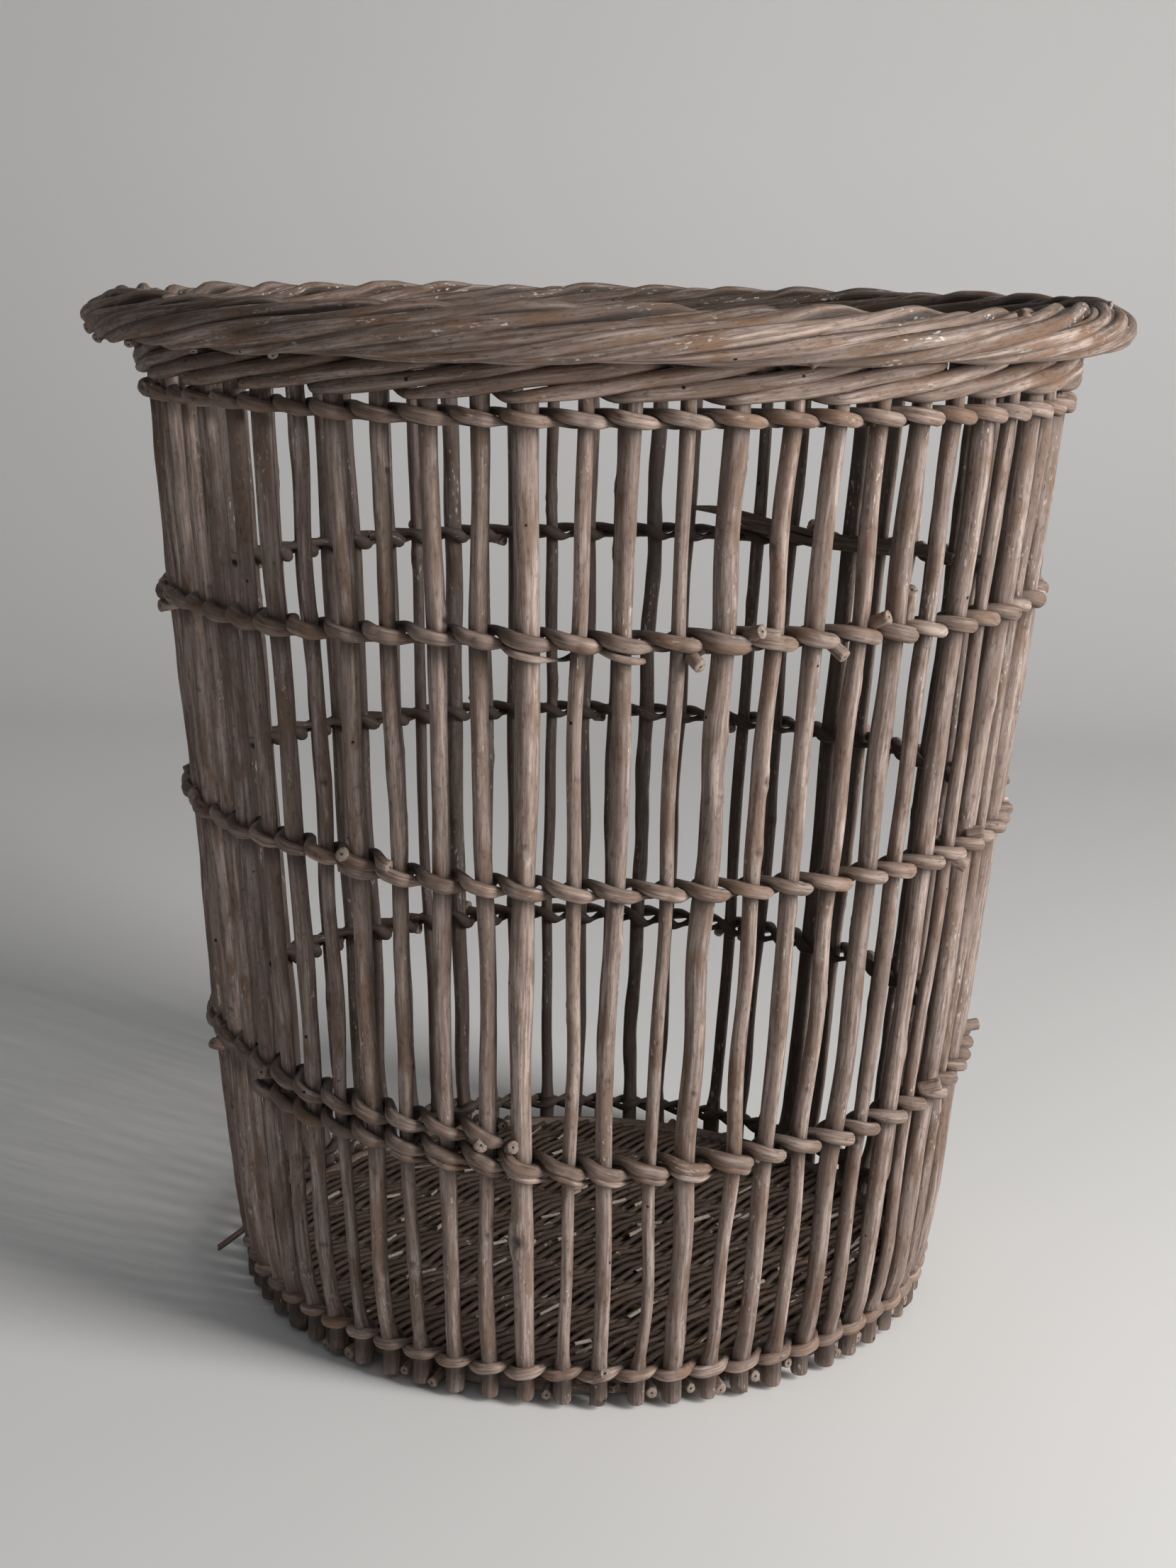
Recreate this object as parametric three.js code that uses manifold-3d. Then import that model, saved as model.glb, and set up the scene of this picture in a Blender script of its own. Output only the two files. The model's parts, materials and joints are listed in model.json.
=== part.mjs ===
// Round, tapered, open-topped willow hamper of openwork basketry.
// Millimetres, +Z up. The origin is on the floor, at the centre of the base, and -Y is the front.
import * as THREE from 'three';
import { mergeVertices } from 'three/addons/utils/BufferGeometryUtils.js';
import Module from 'manifold-3d';

// ---- driving dimensions ----
const HEIGHT = 440;               // floor to the top of the border
const OUTER_RADIUS = 220;         // outside of the border
const STAKE_COUNT = 64;           // upright rods, two to each hairpin
const STAKE_ROD = 3.2;            // radius of an upright rod
const FOOT_RADIUS = 152.6;        // circle that the stake feet stand on
const WAIST_RADIUS = 158.9;       // stake circle just above the kinked foot
const TOP_RADIUS = 191.6;         // stake circle under the border
const FOOT_HEIGHT = 14;           // straight foot below the upsett
const WAIST_HEIGHT = 42;          // where the kink has opened out into the straight wall
const WALL_TOP = 404;             // top of the straight, leaning wall
const HAIRPIN_HEIGHT = 418;       // where the two legs of a hairpin start to bend together
const CLEARANCE = 0.35;           // gap left between neighbouring rods

const BORDER_RADIUS = 12;         // half thickness of the rope border
const BORDER_STRANDS = 4;
const BORDER_TURNS = 4;           // twists of the rope in one round, so that each strand closes
const BORDER_STEPS = 56;          // straight pieces in one strand

const BASE_HEIGHT = 6.6;          // middle of the base above the floor
const BASE_THICKNESS = 7.4;
const BASE_HOOP_RADIUS = 143.2;   // the hoop lies just inside the stake feet, under the upsett
const BASE_HOOP_ROD = 3;
const BASE_STICKS = 8;
const BASE_STICK_ROD = 3;
const BASE_STICK_PITCH = 34;
const BASE_STICK_TURN = -30;      // degrees from +X
const BASE_WEAVE_RADIUS = 137;

// Rows of two rods twined round the stakes. A fitched row turns downwards as it crosses a stake on
// the outside, and the paired upsett turns upwards. Each row starts at a stake of its own.
const TWINED_ROWS = [
  { name: 'upsett', height: 14.5, rod: 2.7, turn: 1, start: 5, colour: '#77675a' },
  { name: 'lower_fitch', height: 117, rod: 2.1, turn: -1, start: 40, colour: '#8a7869' },
  { name: 'middle_fitch', height: 225, rod: 2.1, turn: -1, start: 22, colour: '#8d7c6d' },
  { name: 'upper_fitch', height: 318, rod: 2.1, turn: -1, start: 54, colour: '#86776a' },
  { name: 'top_fitch', height: 400, rod: 2.0, turn: -1, start: 12, colour: '#817164' },
];

const WALE_HEIGHT = 410.6;        // three rods, each in front of two stakes and behind the third
const WALE_ROD = 2.0;
const WALE_RISE = 2.95;           // climb and fall of a wale rod about the middle of its row
const WALE_RODS = 3;

const CROSSING = 0.2;             // share of the stake spacing, either side of a stake, that a rod runs straight

const STAKE_ANGLE = 2 * Math.PI / STAKE_COUNT;
const wasm = await Module();
wasm.setup();
const hamper = new THREE.Group();

// ---- helpers ----

// A point on the wall: position counts stakes round the hamper and may be a fraction.
function onWall(position, radius, height) {
  const angle = (position + 0.5) * STAKE_ANGLE;
  return new THREE.Vector3(radius * Math.cos(angle), radius * Math.sin(angle), height);
}

// Radius of the stakes' centre lines at a height.
function stakeRadius(height) {
  if (height <= FOOT_HEIGHT) return FOOT_RADIUS;
  if (height < WAIST_HEIGHT) {
    return THREE.MathUtils.lerp(FOOT_RADIUS, WAIST_RADIUS, (height - FOOT_HEIGHT) / (WAIST_HEIGHT - FOOT_HEIGHT));
  }
  const rise = Math.min((height - WAIST_HEIGHT) / (WALL_TOP - WAIST_HEIGHT), 1);
  return THREE.MathUtils.lerp(WAIST_RADIUS, TOP_RADIUS, rise);
}

// A path through points, with the bends exactly on them.
class RodPath extends THREE.Curve {
  constructor(points) {
    super();
    this.points = points;
  }

  getPointAt(share, target = new THREE.Vector3()) {
    return target.copy(this.points[Math.round(share * (this.points.length - 1))]);
  }

  getTangentAt(share, target = new THREE.Vector3()) {
    const last = this.points.length - 1;
    const index = Math.round(share * last);
    const here = this.points[index];
    const before = this.points[Math.max(index - 1, 0)];
    const after = this.points[Math.min(index + 1, last)];
    target.copy(after).sub(here).normalize();
    return target.add(here.clone().sub(before).normalize()).normalize();
  }
}

function rodGeometry(points, radius, sides) {
  const section = new THREE.Shape();
  for (let side = 0; side < sides; side++) {
    const angle = 2 * Math.PI * side / sides;
    section[side ? 'lineTo' : 'moveTo'](radius * Math.cos(angle), radius * Math.sin(angle));
  }
  const extrudePath = new RodPath(points);
  return new THREE.ExtrudeGeometry(section, { steps: points.length - 1, extrudePath, bevelEnabled: false });
}

// A closed ring with a round section, about the Z axis.
function ringGeometry(radius, rod, height, segments, sides) {
  const profile = [];
  for (let side = 0; side <= sides; side++) {
    const angle = 2 * Math.PI * (side % sides) / sides;
    profile.push(new THREE.Vector2(radius + rod * Math.cos(angle), rod * Math.sin(angle)));
  }
  const ring = new THREE.LatheGeometry(profile, segments);
  ring.rotateX(Math.PI / 2);
  ring.translate(0, 0, height);
  return ring;
}

function toSolid(geometry) {
  const bare = geometry.clone();
  bare.deleteAttribute('normal');
  bare.deleteAttribute('uv');
  const merged = mergeVertices(bare);
  return new wasm.Manifold(new wasm.Mesh({
    numProp: 3,
    vertProperties: new Float32Array(merged.attributes.position.array),
    triVerts: new Uint32Array(merged.index.array),
  }));
}

function toGeometry(solid) {
  const mesh = solid.getMesh();
  const geometry = new THREE.BufferGeometry();
  geometry.setAttribute('position', new THREE.BufferAttribute(mesh.vertProperties, 3));
  geometry.setIndex(new THREE.BufferAttribute(mesh.triVerts, 1));
  geometry.computeVertexNormals();
  return geometry;
}

function addPiece(name, geometry, colour, roughness = 0.85) {
  const material = new THREE.MeshStandardMaterial({ color: colour, roughness, metalness: 0 });
  const piece = new THREE.Mesh(geometry, material);
  piece.name = name;
  hamper.add(piece);
}

// ---- stakes: each rod is a hairpin of two uprights, with its bend inside the border ----

function hairpinPoints(firstStake) {
  const leg = [0, FOOT_HEIGHT, WAIST_HEIGHT, WALL_TOP];
  const up = leg.map((height) => onWall(firstStake, stakeRadius(height), height));
  const down = leg.map((height) => onWall(firstStake + 1, stakeRadius(height), height)).reverse();
  const left = onWall(firstStake, TOP_RADIUS, HAIRPIN_HEIGHT);
  const right = onWall(firstStake + 1, TOP_RADIUS, HAIRPIN_HEIGHT);
  const middle = left.clone().lerp(right, 0.5);
  const halfSpan = left.distanceTo(right) / 2;
  const bend = [180, 120, 60, 0].map((degrees) => {
    const angle = THREE.MathUtils.degToRad(degrees);
    const point = middle.clone().lerp(right, Math.cos(angle));
    point.z += halfSpan * Math.sin(angle);
    return point;
  });
  return [...up, ...bend, ...down];
}

const STAKE_COLOURS = ['#93806f', '#85756a', '#9a8a7c', '#7d6d60'];
for (let pair = 0; pair < STAKE_COUNT / 2; pair++) {
  const name = `stake_pair_${String(pair + 1).padStart(2, '0')}`;
  addPiece(name, rodGeometry(hairpinPoints(2 * pair), STAKE_ROD, 6), STAKE_COLOURS[pair % STAKE_COLOURS.length]);
}

// ---- twined rows: one rod is outside the even stakes, the other outside the odd ones ----

function twinedPoints(row, rodIndex) {
  const reach = STAKE_ROD + row.rod + CLEARANCE;
  const step = row.rod + CLEARANCE / 2;
  const points = [];
  for (let count = 0; count <= STAKE_COUNT; count++) {
    const outside = count % 2 === 0 ? 1 : -1;
    for (const side of [-1, 1]) {
      const radius = stakeRadius(row.height) + outside * reach;
      const height = row.height + outside * side * row.turn * step;
      points.push(onWall(row.start + rodIndex + count + side * CROSSING, radius, height));
    }
  }
  // The last crossing is the first one again: the rod stops just short of its own beginning.
  const end = points[2 * STAKE_COUNT];
  const tail = points[2 * STAKE_COUNT - 1].clone().lerp(end, 0.8);
  return [...points.slice(0, 2 * STAKE_COUNT), tail];
}

for (const row of TWINED_ROWS) {
  for (const rodIndex of [0, 1]) {
    addPiece(`${row.name}_rod_${rodIndex + 1}`, rodGeometry(twinedPoints(row, rodIndex), row.rod, 4), row.colour);
  }
}

// ---- wale under the border ----

function walePoints(rodIndex) {
  const reach = STAKE_ROD + WALE_ROD + CLEARANCE;
  const radius = stakeRadius(WALE_HEIGHT);
  const points = [];
  for (let stake = rodIndex; stake + 2 < rodIndex + STAKE_COUNT; stake += 3) {
    points.push(onWall(stake - CROSSING, radius + reach, WALE_HEIGHT - WALE_RISE));
    points.push(onWall(stake + 1 + CROSSING, radius + reach, WALE_HEIGHT + WALE_RISE));
    points.push(onWall(stake + 2 - CROSSING, radius - reach, WALE_HEIGHT + WALE_RISE));
    points.push(onWall(stake + 2 + CROSSING, radius - reach, WALE_HEIGHT - WALE_RISE));
  }
  return points;
}

for (let rodIndex = 0; rodIndex < WALE_RODS; rodIndex++) {
  addPiece(`wale_rod_${rodIndex + 1}`, rodGeometry(walePoints(rodIndex), WALE_ROD, 4), '#786a5e');
}

// ---- rope border: strands laid round a thin hoop ----

const BORDER_CIRCLE = OUTER_RADIUS - BORDER_RADIUS;
const BORDER_HEIGHT = HEIGHT - BORDER_RADIUS;
const STRAND_ROD = BORDER_RADIUS / (1 + 1 / Math.sin(Math.PI / BORDER_STRANDS)) - CLEARANCE / 3;
const STRAND_CIRCLE = BORDER_RADIUS - STRAND_ROD;

function strandPoints(strand) {
  const points = [];
  for (let step = 0; step <= BORDER_STEPS; step++) {
    const share = Math.min(step / BORDER_STEPS, 1 - 0.001);
    const round = 2 * Math.PI * share;
    const lay = BORDER_TURNS * round + 2 * Math.PI * strand / BORDER_STRANDS;
    const radius = BORDER_CIRCLE + STRAND_CIRCLE * Math.cos(lay);
    points.push(new THREE.Vector3(
      radius * Math.cos(round), radius * Math.sin(round), BORDER_HEIGHT + STRAND_CIRCLE * Math.sin(lay)));
  }
  return points;
}

for (let strand = 0; strand < BORDER_STRANDS; strand++) {
  addPiece(`border_strand_${strand + 1}`, rodGeometry(strandPoints(strand), STRAND_ROD, 6), '#8b7a6c');
}
const coreRod = STRAND_CIRCLE - STRAND_ROD - 2 * CLEARANCE;
addPiece('border_core', ringGeometry(BORDER_CIRCLE, coreRod, BORDER_HEIGHT, 56, 5), '#6f6054');

// ---- base: a hoop, parallel sticks, and the fine weave packed round them ----

addPiece('base_hoop', ringGeometry(BASE_HOOP_RADIUS, BASE_HOOP_ROD, BASE_HEIGHT, 48, 6), '#5f5147');

function stickOffset(stick) {
  return (stick - (BASE_STICKS - 1) / 2) * BASE_STICK_PITCH;
}

// A round bar lying across the base, with its ends inside a circle of the radius called reach.
function baseBar(offset, radius, reach, sides) {
  const half = Math.sqrt(reach ** 2 - (Math.abs(offset) + radius) ** 2);
  const bar = new THREE.CylinderGeometry(radius, radius, 2 * half, sides);
  bar.rotateZ(-Math.PI / 2);
  bar.translate(0, offset, BASE_HEIGHT);
  bar.rotateZ(THREE.MathUtils.degToRad(BASE_STICK_TURN));
  return bar;
}

const stickReach = BASE_HOOP_RADIUS - BASE_HOOP_ROD - 2 * CLEARANCE;
const disc = new THREE.CylinderGeometry(BASE_WEAVE_RADIUS, BASE_WEAVE_RADIUS, BASE_THICKNESS, 48);
disc.rotateX(Math.PI / 2);
disc.translate(0, 0, BASE_HEIGHT);
let weave = toSolid(disc);
for (let stick = 0; stick < BASE_STICKS; stick++) {
  const offset = stickOffset(stick);
  addPiece(`base_stick_${stick + 1}`, baseBar(offset, BASE_STICK_ROD, stickReach, 8), '#6b5b4e');
  weave = weave.subtract(toSolid(baseBar(offset, BASE_STICK_ROD + CLEARANCE, HEIGHT, 8)));
}
addPiece('base_weave', toGeometry(weave), '#56483e', 0.9);

export default hamper;
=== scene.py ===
"""Looks of the round openwork willow laundry basket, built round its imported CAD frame.

Metres, +Z up, the origin on the floor at the centre of the base, -Y the front. Places on the wall are
counted in stakes: position 0 is the first stake, and each whole number is the next one, turning
anticlockwise as seen from above.
"""
import json
import math

import bpy
import numpy as np
from mathutils import Euler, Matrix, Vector


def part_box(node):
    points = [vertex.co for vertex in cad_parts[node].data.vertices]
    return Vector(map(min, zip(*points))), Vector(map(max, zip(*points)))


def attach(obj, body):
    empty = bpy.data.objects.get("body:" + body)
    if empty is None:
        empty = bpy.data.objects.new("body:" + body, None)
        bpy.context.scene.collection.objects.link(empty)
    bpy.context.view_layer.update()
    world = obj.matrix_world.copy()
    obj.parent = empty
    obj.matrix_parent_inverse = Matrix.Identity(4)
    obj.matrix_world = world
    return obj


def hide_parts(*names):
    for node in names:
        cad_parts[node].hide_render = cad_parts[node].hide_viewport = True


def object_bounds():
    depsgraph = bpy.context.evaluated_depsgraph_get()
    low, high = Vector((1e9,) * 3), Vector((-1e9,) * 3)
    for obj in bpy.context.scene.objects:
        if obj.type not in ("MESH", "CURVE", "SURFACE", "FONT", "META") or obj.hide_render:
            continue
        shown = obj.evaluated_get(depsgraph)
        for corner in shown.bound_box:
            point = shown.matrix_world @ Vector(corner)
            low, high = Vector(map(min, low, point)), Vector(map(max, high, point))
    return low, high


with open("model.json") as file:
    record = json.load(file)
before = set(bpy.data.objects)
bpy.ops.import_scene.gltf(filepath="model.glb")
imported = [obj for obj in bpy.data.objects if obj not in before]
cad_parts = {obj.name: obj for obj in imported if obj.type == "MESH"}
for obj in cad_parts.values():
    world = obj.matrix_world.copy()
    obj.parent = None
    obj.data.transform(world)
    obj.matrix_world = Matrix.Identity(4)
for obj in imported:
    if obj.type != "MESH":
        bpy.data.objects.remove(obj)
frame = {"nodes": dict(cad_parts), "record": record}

cad_low, cad_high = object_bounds()

# ---- driving sizes, from the frame ----
MM = 0.001
HEIGHT = cad_high.z
PAIRS = sorted(name for name in frame["nodes"] if name.startswith("stake_pair_"))
STAKES = 2 * len(PAIRS)
STAKE_STEP = 2 * math.pi / STAKES
FOOT = frame["record"]["mounts"][0]["pos_m"]         # the cut end of the first stake
FOOT_RADIUS = math.hypot(FOOT[0], FOOT[1])
FIRST_STAKE = math.atan2(FOOT[1], FOOT[0])
FRONT = (-math.pi / 2 - FIRST_STAKE) % (2 * math.pi) / STAKE_STEP     # position of the middle of the front

FITCH_ROWS = ("lower_fitch", "middle_fitch", "upper_fitch", "top_fitch")
STRANDS = [f"border_strand_{number}" for number in (1, 2, 3, 4)]
WALE_RODS = [f"wale_rod_{number}" for number in (1, 2, 3)]


def middle_height(*names):
    """Height of the middle of some CAD nodes."""
    boxes = [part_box(name) for name in names]
    return (min(low.z for low, high in boxes) + max(high.z for low, high in boxes)) / 2


ROW_HEIGHT = {row: middle_height(f"{row}_rod_1", f"{row}_rod_2") for row in ("upsett", *FITCH_ROWS)}
WALE_HEIGHT = middle_height(*WALE_RODS)
BORDER_HEIGHT = middle_height(*STRANDS)
BORDER_HALF_HEIGHT = HEIGHT - BORDER_HEIGHT
BORDER_HALF_WIDTH = BORDER_HALF_HEIGHT + 1.8 * MM
BORDER_CIRCLE = max(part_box(name)[1].x for name in STRANDS) - BORDER_HALF_WIDTH + 0.8 * MM
BORDER_FLATTER = 3.2 * MM            # how far the rods lie inside the CAD rope, above and below
BORDER_LIFT = 1.4 * MM
TILT_RIGHT, TILT_BACK = 0.012, 0.008          # the rim is a little higher on the right and at the back
BASE_HEIGHT = middle_height("base_hoop")
BASE_HOOP_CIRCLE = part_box("base_hoop")[1].x - 3 * MM

# The line of the stakes: height and distance from the axis.
WALL_HEIGHTS = (0, 14 * MM, 30 * MM, 48 * MM, 404 * MM, 430 * MM)
WALL_RADII = tuple(FOOT_RADIUS + out * MM for out in (0, 0, 4.4, 7, 39, 40))
CUT_HEIGHT = ROW_HEIGHT["top_fitch"] + 5 * MM        # where every second stake is cut off


# ---- repeatable unevenness ----

def dice_for(*key):
    """Random numbers that are the same each run for the same key."""
    return np.random.default_rng(list(key))


def waves(dice, amplitude, shortest, longest, count=4):
    """A smooth uneven function of a distance, between about -amplitude and +amplitude."""
    lengths = dice.uniform(shortest, longest, count)
    phases = dice.uniform(0, 2 * math.pi, count)
    sizes = dice.uniform(0.4, 1, count)
    sizes = sizes * amplitude / sizes.sum() * 1.5

    def value(distance):
        distance = np.asarray(distance, float)[..., None]
        return (sizes * np.sin(2 * math.pi * distance / lengths + phases)).sum(-1)

    return value


def ring_waves(dice, amplitude, fewest, most, count=4):
    """The same round a ring: a function of the share of the round, which meets itself."""
    counts = dice.integers(fewest, most + 1, count)
    phases = dice.uniform(0, 2 * math.pi, count)
    sizes = dice.uniform(0.4, 1, count)
    sizes = sizes * amplitude / sizes.sum() * 1.5

    def value(share):
        share = np.asarray(share, float)[..., None]
        return (sizes * np.sin(2 * math.pi * share * counts + phases)).sum(-1)

    return value


def smoothstep(value, start, end):
    """Goes smoothly from 0 at start to 1 at end."""
    share = np.clip((value - start) / (end - start), 0, 1)
    return share * share * (3 - 2 * share)


def zigzag(share, turn):
    """Rises in a line through 0 to 1 at turn and falls to 0 at 1, and the same the other way below 0."""
    share = (np.asarray(share, float) + 1) % 2 - 1
    size = np.abs(share)
    return np.sign(share) * np.where(size < turn, size / turn, (1 - size) / (1 - turn))


def softened(values, half_width):
    """The same values with their corners rounded."""
    weights = np.hanning(2 * half_width + 3)[1:-1]
    padded = np.pad(values, half_width, mode="edge")
    return np.convolve(padded, weights / weights.sum(), "valid")


# ---- places on the wall ----

def wall_radius(height):
    """Distance of the stakes from the axis at a height."""
    return np.interp(height, WALL_HEIGHTS, WALL_RADII)


def place(position, radius, height):
    """Points at positions counted in stakes, at distances from the axis and at heights."""
    angle = FIRST_STAKE + np.asarray(position, float) * STAKE_STEP
    columns = np.broadcast_arrays(radius * np.cos(angle), radius * np.sin(angle), height)
    return np.stack(columns, -1)


def outward(position):
    """The level direction away from the axis."""
    angle = FIRST_STAKE + np.asarray(position, float) * STAKE_STEP
    return np.stack([np.cos(angle), np.sin(angle), np.zeros_like(angle)], -1)


def unit(vectors):
    """The same directions with length 1."""
    return vectors / np.linalg.norm(vectors, axis=-1, keepdims=True)


def bell(value, middle, width):
    """1 at the middle, falling off to both sides."""
    return np.exp(-((value - middle) / width) ** 2)


# ---- rods ----

FLAT_RINGS = ((0.10, 0.90),)
END_RINGS = {                # rings past a rod's last one: how far, and how wide, in rod radii
    "cut": FLAT_RINGS,
    "slant": FLAT_RINGS,
    "round": ((0.42, 0.90), (0.74, 0.62), (0.88, 0.30)),
    "blunt": ((0.26, 0.97), (0.48, 0.86), (0.60, 0.62)),
}
WORN_ENDS = ("round", "blunt")       # these are covered by bark, the others show cut wood
WORN_RISE, CUT_RISE = 0.06, -0.03    # how far the middle of an end stands past its last ring
SLANT = 0.7                          # slope of a slanting cut


class Tube:
    """The rings of points that make up one rod, in order from its first end to its last."""

    def __init__(self, path, radius, across, out, sides, closed):
        self.path = np.asarray(path, float)
        self.radius = np.broadcast_to(np.asarray(radius, float), len(self.path))
        self.across = np.broadcast_to(np.asarray(across, float), len(self.path))
        self.angle = 2 * math.pi * np.arange(sides) / sides
        if closed:
            ahead = np.roll(self.path, -1, 0) - np.roll(self.path, 1, 0)
        else:
            ahead = np.gradient(self.path, axis=0)
        self.ahead = unit(ahead)
        out = np.broadcast_to(np.asarray(out, float), self.path.shape)
        self.out = unit(out - (out * self.ahead).sum(1, keepdims=True) * self.ahead)
        self.side = np.cross(self.ahead, self.out)
        gaps = np.linalg.norm(np.diff(self.path, axis=0), axis=1)
        self.along = np.concatenate([[0], np.cumsum(gaps)])
        self.tips = []

    def ring_points(self, centres, reach, rows=slice(None)):
        """Rings round some centres, square to the rod as it runs at these rows of its path."""
        wide = self.across[rows][..., None]
        x = (reach * np.cos(self.angle))[..., None] * self.out[rows][..., None, :]
        y = (reach * wide * np.sin(self.angle))[..., None] * self.side[rows][..., None, :]
        return centres[:, None] + x + y

    def make_surface(self, dice, lumps, knots):
        """The rings along the path, a little out of round, with a low collar round each knot."""
        share = self.along / (self.along[-1] + 1e-9)
        twist = [ring_waves(dice, 1.2, 1, 4)(share)[:, None] for _ in range(2)]
        reach = self.radius[:, None] * (1 + lumps * np.cos(2 * self.angle + twist[0])
                                        + 0.6 * lumps * np.cos(3 * self.angle + twist[1]))
        scar = np.zeros(reach.shape)
        for distance, turn, height, half in knots:
            round_by = np.angle(np.exp(1j * (self.angle - turn)))[None, :] * self.radius[:, None]
            off = ((self.along[:, None] - distance) / half) ** 2 + (round_by / (0.8 * half)) ** 2
            reach = reach + height * (np.exp(-off) - 1.1 * np.exp(-off * 4))
            scar += 0.9 * np.exp(-off * 3.4)
        self.reach = reach
        self.points, self.reaches = [self.ring_points(self.path, reach)], [reach]
        self.alongs, self.scars = [self.along], [scar]

    def close_end(self, kind, row, dice):
        """Adds the rings and the tip of an end; row is 0 at the first end and -1 at the last."""
        way = -1 if row == 0 else 1
        lean = 0.0
        if kind == "slant":
            slope = way * SLANT * np.abs(self.radius[row]) * np.cos(self.angle + dice.uniform(0, 6))
            lean = slope[:, None] * self.ahead[row]
            # A known fault: when the last end slants, this tilts a ring of the first end instead
            # of the rod's own last ring, which leaves a small fold in the mesh at both ends.
            self.points[0][row] += lean
        far, wide = np.array(END_RINGS[kind]).T
        past = way * far * self.radius[row]
        reach = wide[:, None] * self.reach[row]
        centres = self.path[row] + past[:, None] * self.ahead[row]
        points = self.ring_points(centres, reach, row) + lean
        spot = 0 if way < 0 else len(self.points)
        for kept, more in ((self.points, points), (self.reaches, reach),
                           (self.alongs, self.along[row] + past), (self.scars, np.zeros(reach.shape))):
            kept.insert(spot, more[::way])
        rise = far[-1] + (WORN_RISE if kind in WORN_ENDS else CUT_RISE)
        tip = self.path[row] + way * rise * self.radius[row] * self.ahead[row]
        self.tips.append((row, tip, kind not in WORN_ENDS))


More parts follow.
